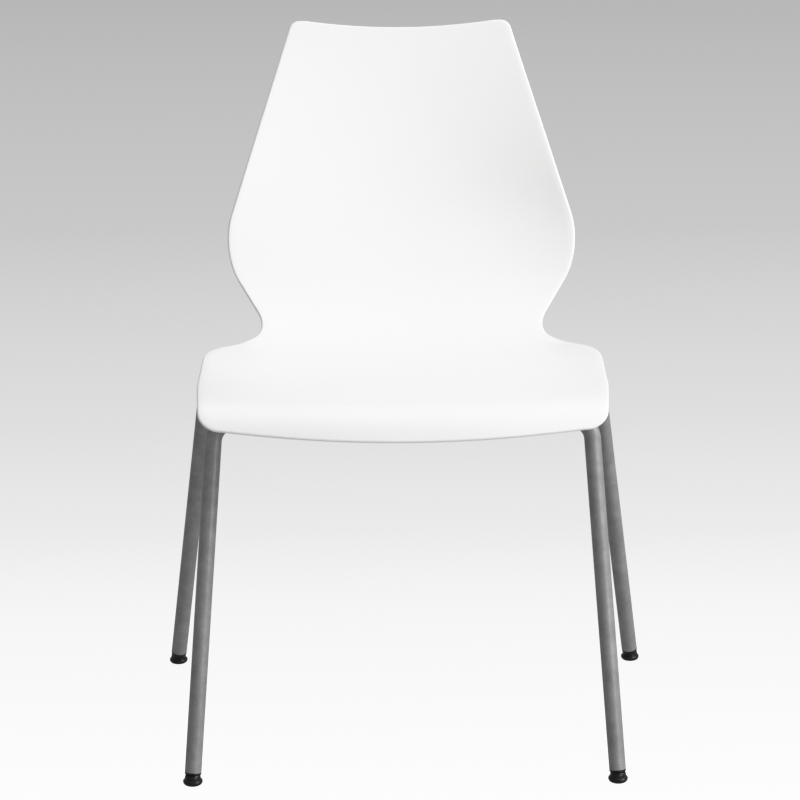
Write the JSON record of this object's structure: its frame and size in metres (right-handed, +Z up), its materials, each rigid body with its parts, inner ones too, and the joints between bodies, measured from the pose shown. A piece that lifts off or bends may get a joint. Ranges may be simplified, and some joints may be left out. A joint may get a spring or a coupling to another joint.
{
  "type": "stacking chair",
  "caption": "Armless stacking chair: a one-piece white plastic seat and waisted back on splayed round steel tube legs with swivel glides.",
  "frame": {"origin": "on the floor, under the centre of the chair's bounding box", "axes": "+Z up, the chair faces -Y; left in a node name is the -X side, which is at the left when the chair is seen from the front"},
  "size_m": [0.5918, 0.5228, 0.7974],
  "materials": {
    "shell_plastic": "satin white moulded polypropylene with a very fine texture",
    "tube_paint": "silver-grey powder coat",
    "screw_steel": "zinc plated",
    "glide_plastic": "black moulded nylon, slightly glossy",
    "bumper_plastic": "black moulded plastic, matte"
  },
  "bodies": {
    "chair": {"seat_shell": "shell_plastic", "front_leg_frame": "tube_paint", "rear_leg_frame": "tube_paint", "left_side_rail": "tube_paint", "right_side_rail": "tube_paint", "front_left_seat_plate": "tube_paint", "front_right_seat_plate": "tube_paint", "rear_left_seat_plate": "tube_paint", "rear_right_seat_plate": "tube_paint", "front_left_seat_screw": "screw_steel", "front_right_seat_screw": "screw_steel", "rear_left_seat_screw": "screw_steel", "rear_right_seat_screw": "screw_steel", "front_left_washer": "screw_steel", "front_right_washer": "screw_steel", "rear_left_washer": "screw_steel", "rear_right_washer": "screw_steel", "front_left_stack_bumper": "bumper_plastic", "front_right_stack_bumper": "bumper_plastic", "rear_left_stack_bumper": "bumper_plastic", "rear_right_stack_bumper": "bumper_plastic", "front_left_glide_insert": "glide_plastic", "front_right_glide_insert": "glide_plastic", "rear_left_glide_insert": "glide_plastic", "rear_right_glide_insert": "glide_plastic"},
    "front_left_foot": {"front_left_glide_foot": "glide_plastic"},
    "front_right_foot": {"front_right_glide_foot": "glide_plastic"},
    "rear_left_foot": {"rear_left_glide_foot": "glide_plastic"},
    "rear_right_foot": {"rear_right_glide_foot": "glide_plastic"}
  },
  "joints": [
    {"name": "front_left_glide_tilt", "type": "hinge", "parent": "chair", "child": "front_left_foot", "pos_m": [-0.24145, -0.24783, 0.008], "axis": [0.9464, -0.323, 0], "range_deg": [-8, 8]},
    {"name": "front_right_glide_tilt", "type": "hinge", "parent": "chair", "child": "front_right_foot", "pos_m": [0.24145, -0.24783, 0.008], "axis": [0.9464, 0.323, 0], "range_deg": [-8, 8]},
    {"name": "rear_left_glide_tilt", "type": "hinge", "parent": "chair", "child": "rear_left_foot", "pos_m": [-0.28469, 0.15853, 0.008], "axis": [0.9306, 0.366, 0], "range_deg": [-8, 8]},
    {"name": "rear_right_glide_tilt", "type": "hinge", "parent": "chair", "child": "rear_right_foot", "pos_m": [0.28469, 0.15853, 0.008], "axis": [0.9306, -0.366, 0], "range_deg": [-8, 8]}
  ]
}
